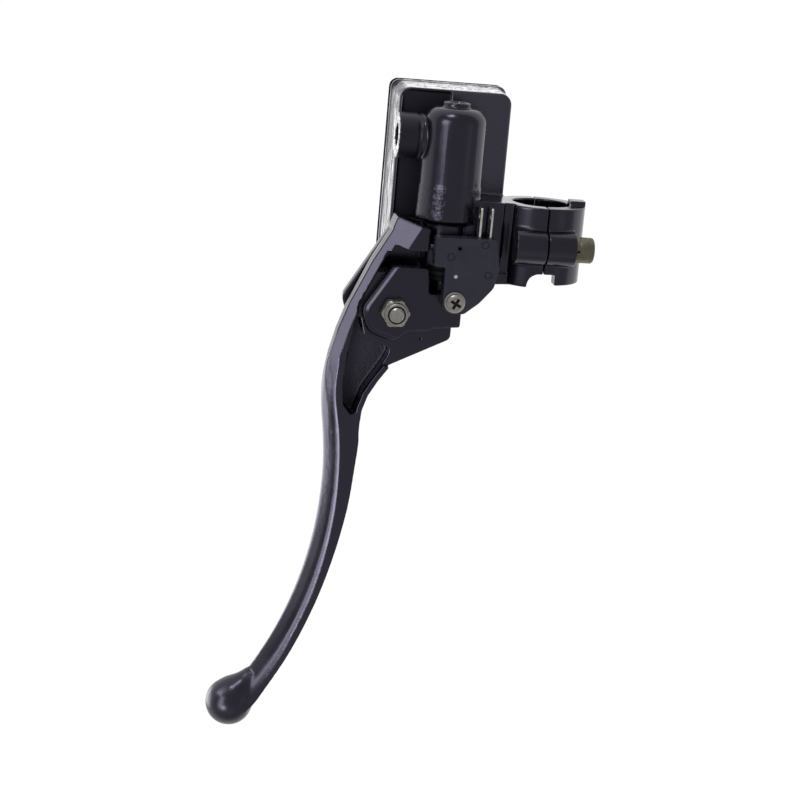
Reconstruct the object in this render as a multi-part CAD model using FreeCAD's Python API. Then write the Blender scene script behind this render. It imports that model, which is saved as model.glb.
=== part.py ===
# Hydraulic front brake master cylinder with its hand lever, for a 22.2 mm motorcycle or
# quad handlebar. Millimetres.
#
# Frame: the origin is on the handlebar's axis, in the middle of the clamp's length.
#   +X runs outboard along the bar, towards the lever's ball end.
#   +Y points forward, away from the rider, to the lever's side of the bar.
#   +Z is up, towards the reservoir's lid.
# The cylinder's bore is parallel to the bar. The lever turns about a vertical pivot and its
# nose pushes the piston inboard (-X). Threads are plain cylinders at their nominal size.
import FreeCAD, Part
import math
import os

V = FreeCAD.Vector
OUT = "parts"
FIT = 0.05  # radial clearance of a bolt, pin or plug in its hole
AIR = 0.3  # clearance between parts that move past each other
AXIS_UP = V(0, 0, 1)

# ---- handlebar clamp ----
BAR_R = 11.1
CLAMP_START = -15.3
BODY_END = 15.9
CAP_END = 14.6
RING_R = 17.4
SPLIT = 0.2  # half of the gap between the clamp's halves
CLAMP_BOLT_R = 3.0
CLAMP_BOLT_Z = 16.0  # the bolts pass above and below the bar
LUG_R = 6.9
LUG_FACE_Y = -11.4  # seat of the bolt heads on the cap
LUG_ROOT_Y = 12.3
NOTCH_X = 10.4  # the notch in the lower wall starts here and runs outboard
NOTCH_CAP_Y = -4.9
NOTCH_BODY_Y = 5.8
WASHER_T = 1.3
CLAMP_BOLT_END_Y = 11.0

# ---- cylinder ----
AXIS_Y = 37.0
AXIS_Z = -2.0
BORE_R = 6.35
BORE_BOTTOM_X = -44.0
CYL_TOP_X = -50.0
CYL_TOP_R = 12.0
CYL_MID_X = -20.0
CYL_MID_R = 12.3
CYL_LOW_X = -7.0
CYL_LOW_R = 12.7
DOME_R = 5.4
END_BOSS_R = 5.5
COLLAR_R = 9.8
COLLAR_FLAT_Y = 45.3  # the lever's heel rests against this flat
MOUTH_X = 11.0
BOOT_SEAT_R = 7.2
BOOT_SEAT_X = 4.0
BOOT_END_X = 17.2
CLIP_X = 2.2
CLIP_T = 1.0
CLIP_GROOVE_R = 7.1

# ---- outlet for the brake hose ----
PORT_X = -37.6
PORT_Z = 2.0
PORT_R = 8.9
PORT_FACE_Y = 58.9
PORT_THREAD_R = 4.4
PORT_THREAD_LENGTH = 13.0

# ---- reservoir ----
RES_X = -21.4  # centre
RES_Y = 35.45
LID_L = 70.4
LID_W = 46.6
TUB_DRAFT = 1.2  # each side, from rim to floor
TUB_BEVEL = 0.8
TUB_FLOOR_Z = 9.5
TUB_RIM_Z = 32.0
TUB_WALL = 3.2
TUB_CORNER = 4.5
FLANGE_Z = 29.6
DIAPHRAGM_T = 1.2
LID_T = 5.0
LID_CORNER = 3.5
LID_SCREW_R = 2.0
LID_SCREW_INSET = 4.4
SIGHT_X = -38.0
SIGHT_Z = 21.0
SIGHT_R = 6.5
SIGHT_FACE_Y = 12.9

# ---- lever, pivot and ears ----
PIVOT_X = 29.0
PIVOT_Y = 56.0
PIVOT_R = 4.0  # shoulder of the pivot bolt
PIVOT_THREAD_R = 3.0
BUSH_R = 5.0
NUT_HEX_T = 5.0
NUT_T = 7.3  # with its round collar
BOLT_END_Z = -20.8
EAR_LOW = (-13.0, -8.0)
EAR_HIGH = (4.0, 9.0)
# Slopes along the lower ear's finger side: degrees from upright, and a point of each slope as
# a distance inside the outline and a height over the ear's lower face.
EAR_BEVEL = [(30, 0.0, 2.2), (63, 0.8, 0.81)]
WEB = (EAR_LOW[1] + AIR, EAR_HIGH[0] - AIR)
NOSE_R = 5.0
NOSE_X = 27.7
HEEL_Y = COLLAR_FLAT_Y + 0.15
HEEL_Z = -13.3
HEAD_SLOPE = 27.5  # degrees, of the head's lower face towards the finger side
HEAD_TURN = 28.9  # degrees, of the head's outer edge from the bar's direction
BALL = (196.3, 108.7)
BALL_R = 9.6
BALL_NECK = [
    (-15.5, 0),
    (-15.5, 4.2),
    (-13.0, 4.7),
    (-10.5, 5.6),
    (-8.4, 6.8),
    (-6.6, 7.9),
    (-4.0, 8.8),
    (-4.0, 0),
]
BALL_NECK_TURN = 38.0  # degrees, of the neck's line from the bar's direction
BLADE_NEAR = -9.0
BLADE_FAR = 5.0

# ---- piston ----
PISTON_R = BORE_R - FIT
PISTON_END_X = NOSE_X - NOSE_R - 0.2
PISTON_STEM_R = 4.4
CUP_X = -23.0

# ---- brake light switch ----
SWITCH_TOP = -20.0  # outer face of the cover
SWITCH_COVER_T = 1.5
SWITCH_BASE = -13.0
SWITCH_SCREW = (22.7, 34.1)
SWITCH_SCREW_R = 2.0
PLUNGER_X = 2.6
PLUNGER_Z = -13.1
PLUNGER_R = 0.9
PLUNGER_END_Y = 44.3
SWITCH_SPRING_Z = -15.8


# ---------------------------------------------------------------- helpers

def box(x0, x1, y0, y1, z0, z1):
    return Part.makeBox(x1 - x0, y1 - y0, z1 - z0, V(x0, y0, z0))


def rod(start, end, radius):
    """A cylinder from one point to another."""
    a, b = V(*start), V(*end)
    return Part.makeCylinder(radius, (b - a).Length, a, b - a)


def ring(start, end, outer, inner):
    return rod(start, end, outer).cut(rod(start, end, inner))


def fuse(shapes):
    return shapes[0].multiFuse(shapes[1:]).removeSplitter()


def cut(shape, *tools):
    for tool in tools:
        shape = shape.cut(tool)
    return shape


def rounded_wire(corners, z):
    """Closed outline at height z through corners (x, y, radius), each rounded by an arc."""
    edges = []
    ends = []
    n = len(corners)
    for i in range(n):
        x, y, r = corners[i]
        p = V(x, y, z)
        before = (V(corners[i - 1][0], corners[i - 1][1], z) - p).normalize()
        after = (V(corners[(i + 1) % n][0], corners[(i + 1) % n][1], z) - p).normalize()
        if r <= 0:
            ends.append((p, p, None))
            continue
        half = before.getAngle(after) / 2
        reach = r / math.tan(half)
        inwards = (before + after).normalize()
        middle = p + inwards * (r / math.sin(half) - r)
        ends.append((p + before * reach, p + after * reach, middle))
    for i in range(n):
        start, end, middle = ends[i]
        if middle is not None:
            edges.append(Part.Arc(start, middle, end).toShape())
        following = ends[(i + 1) % n][0]
        if (following - end).Length > 1e-6:
            edges.append(Part.LineSegment(end, following).toShape())
    return Part.Wire(edges)


def plate(corners, z0, z1):
    """Flat plate with a rounded outline."""
    return Part.Face(rounded_wire(corners, z0)).extrude(V(0, 0, z1 - z0))


def rounded_rect(cx, cy, length, width, radius):
    x, y = length / 2, width / 2
    return [(cx + i * x, cy + j * y, radius) for i, j in ((-1, -1), (1, -1), (1, 1), (-1, 1))]


def stack(*levels):
    """Loft with flat sides through rounded rectangles, each (z, length, width, radius)."""
    wires = [
        rounded_wire(rounded_rect(RES_X, RES_Y, length, width, radius), z)
        for z, length, width, radius in levels
    ]
    return Part.makeLoft(wires, True, True)


def turned(points, x_axis_y=AXIS_Y, x_axis_z=AXIS_Z):
    """Solid of revolution about an axis parallel to X. Points are (x, radius), in order."""
    path = [V(x, x_axis_y + r, x_axis_z) for x, r in points]
    outline = Part.makePolygon(path + [path[0]])
    return Part.Face(outline).revolve(V(0, x_axis_y, x_axis_z), V(1, 0, 0), 360)


def export(name, *solids):
    shape = solids[0] if len(solids) == 1 else Part.makeCompound(list(solids))
    shape.exportStep(os.path.join(OUT, name + ".step"))


# ---------------------------------------------------------------- clamp

def clamp_lug(side, y0, y1):
    """Half-round boss round one clamp bolt, standing on the ring. side is -1 below, 1 above."""
    z = side * CLAMP_BOLT_Z
    low, high = sorted((0.0, z))
    return rod((0, y0, z), (0, y1, z), LUG_R).fuse(box(-LUG_R, LUG_R, y0, y1, low, high))


def clamp_ring(y0, y1, end):
    whole = rod((CLAMP_START, 0, 0), (end, 0, 0), RING_R)
    return whole.common(box(CLAMP_START, end, y0, y1, -RING_R, RING_R))


def bar_hole():
    return rod((CLAMP_START - 10, 0, 0), (BODY_END + 10, 0, 0), BAR_R)


def clamp_notch(y0, y1, radius):
    """Opening in the lower wall at the outboard end, with one rounded inner corner."""
    depth = BODY_END + 1
    corners = [
        (NOTCH_X, y0, 0.6),
        (depth, y0, 0),
        (depth, y1, 0),
        (NOTCH_X, y1, radius),
    ]
    return plate(corners, -RING_R - 8, -BAR_R + 3)


def clamp_cap():
    ring_part = clamp_ring(-RING_R, -SPLIT, CAP_END)
    lugs = [clamp_lug(side, LUG_FACE_Y, -SPLIT) for side in (-1, 1)]
    tab = box(CLAMP_START - 1.9, CLAMP_START + 1, -RING_R, -BAR_R, -4.5, 2.5).common(
        rod((CLAMP_START - 1.9, 0, 0), (0, 0, 0), RING_R)
    )
    cap = fuse([ring_part, tab] + lugs)
    for side in (-1, 1):
        z = side * CLAMP_BOLT_Z
        cap = cut(
            cap,
            rod((0, -RING_R - 1, z), (0, LUG_FACE_Y, z), 6.0),
            rod((0, LUG_FACE_Y - 1, z), (0, 1, z), CLAMP_BOLT_R + FIT),
        )
    return cut(cap, bar_hole(), clamp_notch(NOTCH_CAP_Y, 0.0, 0.6))


def clamp_bolt(side):
    """M6 socket-head cap screw, 25 mm long."""
    z = side * CLAMP_BOLT_Z
    seat = LUG_FACE_Y - WASHER_T
    head = rod((0, seat - 6.0, z), (0, seat, z), 5.0)
    head = head.makeFillet(0.6, [e for e in head.Edges if abs(e.CenterOfMass.y - seat + 6) < 0.01])
    shank = rod((0, seat, z), (0, CLAMP_BOLT_END_Y, z), CLAMP_BOLT_R)
    return cut(head.fuse(shank), hexagon((0, seat - 6.1, z), (0, 1, 0), 5.0, 3.1))


def clamp_washer(side):
    """Split spring washer, drawn as a plain ring with its slot."""
    z = side * CLAMP_BOLT_Z
    washer = ring((0, LUG_FACE_Y - WASHER_T, z), (0, LUG_FACE_Y, z), 5.3, CLAMP_BOLT_R + FIT)
    slot = box(-0.4, 0.4, LUG_FACE_Y - 2, LUG_FACE_Y + 1, z - 6, z)
    return cut(washer, slot)


def hexagon(base, direction, across_flats, depth):
    """Hexagonal prism from a base point along a direction."""
    normal = V(*direction)
    side_way = V(0, 0, 1) if abs(normal.z) < 0.5 else V(1, 0, 0)
    radius = across_flats / math.sqrt(3)
    points = []
    for i in range(7):
        turn = FreeCAD.Rotation(normal, 60.0 * i)
        points.append(V(*base) + turn.multVec(side_way * radius))
    return Part.Face(Part.makePolygon(points)).extrude(normal * depth)


# ---------------------------------------------------------------- main casting

def cylinder_casing():
    """Tapered barrel with a domed inboard end and the narrower collar round the mouth."""
    dome = []
    for i in range(9):
        a = math.radians(90.0 * i / 8)
        dome.append((
            CYL_TOP_X + DOME_R * (1 - math.sin(a)),
            CYL_TOP_R - DOME_R * (1 - math.cos(a)),
        ))
    dome.reverse()
    profile = [(CYL_TOP_X - 2.0, 0), (CYL_TOP_X - 2.0, END_BOSS_R - 0.5)]
    profile += [(CYL_TOP_X - 1.5, END_BOSS_R), (CYL_TOP_X, END_BOSS_R)]
    profile += [point for point in dome if point[0] > CYL_TOP_X + 0.01]
    profile += [(CYL_MID_X, CYL_MID_R - 0.25), (CYL_MID_X, CYL_MID_R), (CYL_LOW_X, CYL_LOW_R)]
    profile += [(CYL_LOW_X + 1.2, COLLAR_R), (MOUTH_X, COLLAR_R), (MOUTH_X, 0)]
    casing = turned(profile)
    tip = rod((CYL_TOP_X - 3.0, AXIS_Y, AXIS_Z), (CYL_TOP_X - 1.0, AXIS_Y, AXIS_Z), END_BOSS_R - 1.7)
    casing = casing.cut(tip)
    flat = box(CYL_LOW_X + 1.2, MOUTH_X + 1, COLLAR_FLAT_Y, 60, -20, EAR_HIGH[0] - 0.1)
    return casing.cut(flat)


def tub():
    """Reservoir with drafted walls, a bevelled floor edge and a flange under the lid."""
    low_l = LID_L - 2 * TUB_DRAFT
    low_w = LID_W - 2 * TUB_DRAFT
    outer = stack(
        (TUB_FLOOR_Z, low_l - 2 * TUB_BEVEL, low_w - 2 * TUB_BEVEL, TUB_CORNER),
        (TUB_FLOOR_Z + TUB_BEVEL, low_l, low_w, TUB_CORNER),
        (FLANGE_Z - 0.6, LID_L - 0.8, LID_W - 0.8, TUB_CORNER),
        (FLANGE_Z, LID_L, LID_W, LID_CORNER),
        (TUB_RIM_Z, LID_L, LID_W, LID_CORNER),
    )
    return outer


def tub_cavity():
    low_l = LID_L - 2 * TUB_DRAFT - 2 * TUB_WALL
    low_w = LID_W - 2 * TUB_DRAFT - 2 * TUB_WALL
    return stack(
        (TUB_FLOOR_Z + TUB_WALL, low_l, low_w, 3.0),
        (TUB_RIM_Z + 1, low_l + 1.5, low_w + 1.5, 3.5),
    )


def lid_screw_places():
    reach = LID_L / 2 - LID_SCREW_INSET
    return [(RES_X - reach, RES_Y), (RES_X + reach, RES_Y)]


EAR_LOW_OUTLINE = [
    (11.4, 58.0, 1.6),
    (11.5, 43.8, 1.0),
    (21.4, 42.8, 1.0),
    (21.4, 38.0, 1.0),
    (13.6, 38.0, 0.3),
    (13.6, 29.8, 1.5),
    (33.9, 29.8, 0.8),
    (34.9, 40.2, 1.0),
    (35.9, 41.6, 1.0),
    (36.6, 50.4, 2.5),
    (41.4, 55.6, 6.0),
    (38.0, 66.0, 7.0),
    (29.0, 68.9, 6.5),
]

EAR_HIGH_OUTLINE = [
    (-5.5, 30.0, 1.0),
    (-5.5, 55.6, 1.2),
    (27.2, 75.0, 4.5),
    (38.6, 71.0, 8.0),
    (41.4, 56.0, 8.0),
    (36.0, 45.0, 4.0),
    (34.2, 30.4, 2.0),
]


def bevelled_ear(ear):
    """Slopes the lower edge along the ear's finger side and round its outboard corner."""
    result = ear
    for degrees in range(18, 123, 13):
        reach = ear.copy()
        reach.rotate(V(0, 0, 0), AXIS_UP, -degrees)
        for lean, inside, height in EAR_BEVEL:
            wedge = box(0, 30, -100, 100, -30, 30)
            wedge.rotate(V(0, 0, 0), V(0, 1, 0), lean)
            wedge.translate(V(reach.BoundBox.XMax - inside, 0, EAR_LOW[0] + height))
            wedge.rotate(V(0, 0, 0), AXIS_UP, degrees)
            result = result.cut(wedge)
    return result


def ears():
    """The fork that holds the lever: a small lower ear and a larger upper one."""
    low = bevelled_ear(plate(EAR_LOW_OUTLINE, *EAR_LOW))
    high = plate(EAR_HIGH_OUTLINE, *EAR_HIGH)
    return [low, high]


def lower_ear_bridge():
    """Joins the lower ear to the collar, outside the lever nose's swing."""
    pad = box(5.0, 20.0, 26.5, 38.0, EAR_LOW[0], AXIS_Z)
    return [pad.cut(box(MOUTH_X - 0.1, 20.1, 26.4, 43.1, EAR_LOW[1], 0))]


def clamp_arm():
    """Thick arm from the clamp to the cylinder."""
    corners = [
        (CLAMP_START, 6.0, 0),
        (BODY_END, 6.0, 0),
        (BODY_END + 0.6, 20.0, 2.0),
        (12.0, 31.0, 2.0),
        (CLAMP_START - 0.6, 31.0, 2.0),
    ]
    return plate(corners, -11.0, TUB_FLOOR_Z + 1)


def hose_boss():
    boss = rod((PORT_X, AXIS_Y + 4, PORT_Z), (PORT_X, PORT_FACE_Y, PORT_Z), PORT_R)
    groove_y = PORT_FACE_Y - 8.6
    groove = ring((PORT_X, groove_y, PORT_Z), (PORT_X, groove_y + 1.1, PORT_Z), PORT_R + 1, PORT_R - 0.45)
    boss = boss.cut(groove)
    rib = box(PORT_X - 4.0, PORT_X + 4.0, AXIS_Y + 6, PORT_FACE_Y - 5, PORT_Z, TUB_FLOOR_Z + 1)
    return [boss, rib]


def master_cylinder_body():
    saddle = box(CYL_TOP_X + 3, MOUTH_X - 3, AXIS_Y - 9.5, AXIS_Y + 8.0, AXIS_Z, TUB_FLOOR_Z + 1)
    lugs = [clamp_lug(side, SPLIT, LUG_ROOT_Y) for side in (-1, 1)]
    sight_boss = rod((SIGHT_X, SIGHT_FACE_Y + 1, SIGHT_Z), (SIGHT_X, 19.0, SIGHT_Z), 8.8)
    ring_half = clamp_ring(SPLIT, LUG_ROOT_Y, BODY_END)
    outside = fuse(
        [tub(), cylinder_casing(), saddle, clamp_arm(), ring_half, sight_boss]
        + lugs + ears() + lower_ear_bridge() + hose_boss()
    )
    posts = [rod((x, y, TUB_FLOOR_Z), (x, y, TUB_RIM_Z), 4.3) for x, y in lid_screw_places()]
    sight_inner = rod((SIGHT_X, SIGHT_FACE_Y, SIGHT_Z), (SIGHT_X, 19.0, SIGHT_Z), 8.8)
    cavity = tub_cavity().cut(fuse(posts)).cut(sight_inner)
    recess_start = RES_X - LID_L / 2 + 2.0
    recess_end_y = RES_Y + LID_W / 2 - 2.4
    recess = box(recess_start, 10.0, 37.4, recess_end_y, 8.0, TUB_FLOOR_Z + 0.8)
    recess = recess.cut(cylinder_casing()).cut(fuse(hose_boss() + [saddle] + ears()))
    body = cut(outside, cavity, recess, bar_hole(), clamp_notch(0.0, NOTCH_BODY_Y, 4.6))
    groove = box(CLAMP_START - 2, BODY_END - 4, LUG_ROOT_Y, LUG_ROOT_Y + 4.0, -RING_R - 8, -9.6)
    return cut(body, groove, *bore_tools(), *hole_tools())


def bore_tools():
    axis = AXIS_Y, AXIS_Z
    drill_tip = Part.makeCone(0.5, BORE_R, 3.0, V(BORE_BOTTOM_X - 3, *axis), V(1, 0, 0))
    return [
        rod((BORE_BOTTOM_X, *axis), (MOUTH_X + 1, *axis), BORE_R),
        drill_tip,
        rod((BOOT_SEAT_X, *axis), (MOUTH_X + 1, *axis), BOOT_SEAT_R),
        rod((MOUTH_X, *axis), (BOOT_END_X + 1.0, *axis), BOOT_SEAT_R + 0.4),
        rod((CLIP_X, *axis), (CLIP_X + CLIP_T + 0.1, *axis), CLIP_GROOVE_R),
        rod((-14.0, AXIS_Y, AXIS_Z), (-14.0, AXIS_Y, TUB_RIM_Z), 1.5),
        rod((-27.4, AXIS_Y, AXIS_Z), (-27.4, AXIS_Y, TUB_RIM_Z), 0.5),
    ]


def hole_tools():
    tools = [
        rod((PORT_X, AXIS_Y, PORT_Z), (PORT_X, PORT_FACE_Y - PORT_THREAD_LENGTH, PORT_Z), 2.0),
        rod((PORT_X, PORT_FACE_Y - PORT_THREAD_LENGTH, PORT_Z), (PORT_X, 80, PORT_Z), PORT_THREAD_R),
        rod((PIVOT_X, PIVOT_Y, -1), (PIVOT_X, PIVOT_Y, 20), PIVOT_R + FIT),
        rod((PIVOT_X, PIVOT_Y, -20), (PIVOT_X, PIVOT_Y, 0), PIVOT_THREAD_R + FIT),
        rod((SIGHT_X, 5, SIGHT_Z), (SIGHT_X, 20, SIGHT_Z), 4.8),
        rod((SIGHT_X, 5, SIGHT_Z), (SIGHT_X, SIGHT_FACE_Y + 3.4, SIGHT_Z), SIGHT_R + FIT),
        rod((*SWITCH_SCREW, -20), (*SWITCH_SCREW, EAR_LOW[1] + 1), SWITCH_SCREW_R + FIT),
    ]
    for side in (-1, 1):
        z = side * CLAMP_BOLT_Z
        tools.append(rod((0, 0, z), (0, CLAMP_BOLT_END_Y + 0.6, z), CLAMP_BOLT_R + FIT))
    for x, y in lid_screw_places():
        tools.append(rod((x, y, TUB_RIM_Z - 12.5), (x, y, TUB_RIM_Z + 1), LID_SCREW_R + FIT))
    return tools


# ---------------------------------------------------------------- reservoir parts

LID_BOTTOM = TUB_RIM_Z + DIAPHRAGM_T
LID_TOP = LID_BOTTOM + LID_T


def lid():
    """Cover with bevelled edges, a shallow raised panel and a recess for the set plate."""
    shell = stack(
        (LID_BOTTOM, LID_L, LID_W, LID_CORNER),
        (LID_TOP - 1.2, LID_L, LID_W, LID_CORNER),
        (LID_TOP - 0.6, LID_L - 1.6, LID_W - 1.6, LID_CORNER - 0.6),
    )
    panel = stack(
        (LID_TOP - 1.0, LID_L - 19.0, LID_W - 6.0, 3.0),
        (LID_TOP - 0.3, LID_L - 19.0, LID_W - 6.0, 3.0),
        (LID_TOP, LID_L - 20.0, LID_W - 7.0, 2.6),
    )
    recess = stack(
        (LID_BOTTOM - 1, LID_L - 16.0, LID_W - 7.0, 3.0),
        (LID_BOTTOM + 1.7, LID_L - 16.0, LID_W - 7.0, 3.0),
    )
    shape = shell.fuse(panel).removeSplitter().cut(recess)
    for x, y in lid_screw_places():
        sink = Part.makeCone(LID_SCREW_R + FIT, 4.2, 2.2, V(x, y, LID_TOP - 2.8), V(0, 0, 1))
        shape = cut(shape, rod((x, y, 0), (x, y, 60), LID_SCREW_R + FIT), sink)
    return shape


def lid_screw(x, y):
    """M4 countersunk cross-head screw."""
    head = Part.makeCone(LID_SCREW_R, 4.1, 2.1, V(x, y, LID_TOP - 2.75), V(0, 0, 1))
    shank = rod((x, y, TUB_RIM_Z - 11.5), (x, y, LID_TOP - 2.75), LID_SCREW_R)
    return cut(head.fuse(shank), cross_recess(x, y, LID_TOP - 0.6, 1))


def cross_recess(x, y, z, way):
    """Cross-head driver recess that opens at height z, towards way (+1 up, -1 down)."""
    low, high = sorted((z + 0.1 * way, z - 1.6 * way))
    arms = [box(x - a, x + a, y - b, y + b, low, high) for a, b in ((2.2, 0.55), (0.55, 2.2))]
    return arms[0].fuse(arms[1])


def diaphragm():
    """Rubber diaphragm: a flange under the lid and a folded cup that hangs in the tub."""
    flange = plate(rounded_rect(RES_X, RES_Y, LID_L - 0.6, LID_W - 0.6, 3.2), TUB_RIM_Z, LID_BOTTOM)
    cup = stack((22.0, 44.0, 28.0, 4.0), (TUB_RIM_Z + 0.1, 48.0, 32.0, 5.0))
    hollow = stack((23.2, 41.6, 25.6, 3.5), (LID_BOTTOM + 1, 45.8, 29.8, 4.5))
    shape = flange.fuse(cup).cut(hollow)
    for x, y in lid_screw_places():
        shape = shape.cut(rod((x, y, 20), (x, y, 60), LID_SCREW_R + 0.3))
    return shape


def set_plate():
    """Stiff plate that holds the diaphragm's flange down inside the lid."""
    outer = rounded_rect(RES_X, RES_Y, LID_L - 16.6, LID_W - 7.6, 2.8)
    inner = rounded_rect(RES_X, RES_Y, 42.0, 26.0, 3.0)
    return plate(outer, LID_BOTTOM, LID_BOTTOM + 1.6).cut(plate(inner, LID_BOTTOM - 1, LID_BOTTOM + 3))


def port_guard():
    """Small bent plate over the compensating port, which keeps fluid from spurting up."""
    floor = TUB_FLOOR_Z + TUB_WALL
    top = box(-29.5, -20.5, AXIS_Y - 5, AXIS_Y + 5, floor + 2.0, floor + 2.8)
    legs = [box(x, x + 0.8, AXIS_Y - 5, AXIS_Y + 5, floor, floor + 2.4) for x in (-29.5, -21.3)]
    return fuse([top] + legs)


def sight_glass():
    lens = rod((SIGHT_X, SIGHT_FACE_Y + 0.5, SIGHT_Z), (SIGHT_X, SIGHT_FACE_Y + 2.6, SIGHT_Z), SIGHT_R)
    return lens.makeFillet(0.35, [lens.Edges[0]])


def sight_seal():
    start = (SIGHT_X, SIGHT_FACE_Y + 2.6, SIGHT_Z)
    return ring(start, (SIGHT_X, SIGHT_FACE_Y + 3.4, SIGHT_Z), SIGHT_R, 4.9)


# ---------------------------------------------------------------- piston group

def piston():
    """Spool: head, waist, rear land and the stem that the lever's nose pushes."""
    return turned([
        (CUP_X, 0),
        (CUP_X, PISTON_R),
        (CUP_X + 2.0, PISTON_R),
        (CUP_X + 3.0, 3.6),
        (-7.5, 3.6),
        (-6.5, PISTON_R),
        (-5.0, PISTON_R),
        (-5.0, 4.3),
        (-2.0, 4.3),
        (-2.0, PISTON_R),
        (1.0, PISTON_R),
        (1.0, PISTON_STEM_R),
        (PISTON_END_X - 0.8, PISTON_STEM_R),
        (PISTON_END_X, PISTON_STEM_R - 0.8),
        (PISTON_END_X, 0),
    ])


def primary_cup():
    """Rubber cup ahead of the piston, open towards the fluid."""
    return turned([
        (CUP_X, 0),
        (CUP_X, BORE_R - 0.25),
        (CUP_X - 3.4, BORE_R - FIT),
        (CUP_X - 3.4, 5.2),
        (CUP_X - 1.2, 4.6),
        (CUP_X - 1.2, 0),
    ])


def secondary_cup():
    """Rubber seal in the piston's rear groove."""
    x = -5.0 + 0.1
    return turned([
        (x, 4.3 + FIT),
        (x, BORE_R - FIT),
        (x + 0.8, BORE_R - FIT),
        (x + 2.7, BORE_R - 0.35),
        (x + 2.7, 4.3 + FIT),
    ])


def return_spring():
    """Return spring between the bore's bottom and the primary cup."""
    wire = 0.6
    start = BORE_BOTTOM_X + wire + 0.1
    length = (CUP_X - 1.2 - wire - 0.1) - start
    helix = Part.makeHelix(length / 6.0, length, 3.9)
    helix.rotate(V(0, 0, 0), V(0, 1, 0), 90)
    helix.translate(V(start, AXIS_Y, AXIS_Z))
    first = helix.Edges[0]
    at = first.valueAt(first.FirstParameter)
    section = Part.Wire(Part.makeCircle(wire, at, first.tangentAt(first.FirstParameter)))
    return Part.Wire(helix.Edges).makePipeShell([section], True, True)


def circlip():
    """Internal snap ring with its gap, in the groove outside the piston's land."""
    axis = AXIS_Y, AXIS_Z
    body = ring((CLIP_X, *axis), (CLIP_X + CLIP_T, *axis), CLIP_GROOVE_R - FIT, 5.3)
    return cut(body, box(CLIP_X - 1, CLIP_X + 2, AXIS_Y - 2.0, AXIS_Y + 2.0, AXIS_Z, AXIS_Z + 10))


def dust_boot():
    """Rubber boot from the mouth of the bore to the piston's stem, with two folds."""
    return turned([
        (CLIP_X + CLIP_T + 0.9, BOOT_SEAT_R - FIT),
        (MOUTH_X - 0.2, BOOT_SEAT_R - FIT),
        (MOUTH_X + 0.1, 6.6),
        (12.2, 6.2),
        (13.2, 7.2),
        (14.4, 7.2),
        (15.4, 5.9),
        (16.6, 5.9),
        (BOOT_END_X, 5.2),
        (BOOT_END_X, PISTON_STEM_R + FIT),
        (15.0, PISTON_STEM_R + FIT),
        (14.2, 5.6),
        (13.4, 5.8),
        (12.4, 4.9),
        (10.6, 5.0),
        (9.6, 5.9),
        (CLIP_X + CLIP_T + 0.9, 5.9),
    ])


# ---------------------------------------------------------------- lever

# Cross-sections of the lever from its heel to the ball: a point of the outer, finger-side edge,
# the facing point of the inner edge, the heights of the lower and upper faces, the share of the
# width that the finger side takes, and how round it is, from 0, a flat facet, to 1.
LEVER_SECTIONS = [
    ((-5.8, 56.7), (-3.9, 52.9), -10.86, 3.7, 0.93, 0.0),
    ((10.3, 65.6), (12.2, 61.7), -10.86, 3.7, 0.93, 0.0),
    ((27.5, 73.4), (29.3, 69.4), -10.8, 3.7, 0.92, 0.0),
    ((38.7, 77.2), (40.2, 72.2), -10.4, 3.7, 0.80, 0.0),
    ((48.7, 79.6), (50.0, 72.8), -9.8, 3.9, 0.58, 0.0),
    ((59.0, 80.9), (59.4, 72.4), -9.3, 4.4, 0.58, 0.4),
    ((69.6, 80.5), (69.0, 68.4), -9.0, 4.8, 0.46, 1.0),
    ((80.4, 79.1), (79.4, 65.4), -9.0, 5.0, 0.44, 1.0),
    ((92.8, 78.0), (92.4, 65.8), -9.0, 5.0, 0.49, 1.0),
    ((106.0, 78.1), (106.8, 67.0), -9.0, 5.0, 0.55, 1.0),
    ((122.1, 79.7), (124.0, 69.9), -8.9, 4.8, 0.63, 1.0),
    ((139.2, 83.3), (141.7, 74.4), -8.8, 4.6, 0.71, 1.0),
    ((156.6, 89.1), (160.0, 80.7), -8.6, 4.4, 0.75, 1.0),
    ((173.9, 97.3), (178.2, 89.1), -8.4, 4.2, 0.78, 1.0),
    ((183.0, 103.0), (187.9, 94.5), -8.6, 4.3, 0.76, 1.0),
    ((189.3, 107.9), (195.6, 99.4), -9.2, 5.0, 0.72, 1.0),
    ((193.0, 111.0), (200.2, 104.2), -8.6, 4.4, 0.68, 1.0),
]
# The rounded finger side, from the crease: share of its width left, share of its height dropped.
FINGER_PROFILE = [(0.83, 0.05), (0.62, 0.16), (0.42, 0.34), (0.20, 0.62)]
HEAD_SECTIONS = 4  # the head is straight-sided this far, and the blade beyond it is smooth
# Inner edge beside the pocket, where the raised rim stands.
INNER_EDGE = [(52.0, 55.4), (60.6, 61.2), (68.0, 64.5), (76.0, 65.4), (88.0, 65.6)]


def spline(points):
    curve = Part.BSplineCurve()
    curve.interpolate([V(x, y, 0) for x, y in points])
    return curve


def edge_point(curve, x):
    """Point of a curve at a given X."""
    low, high = curve.FirstParameter, curve.LastParameter
    for _ in range(50):
        middle = (low + high) / 2
        if curve.value(middle).x < x:
            low = middle
        else:
            high = middle
    return curve.value(low)


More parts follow.
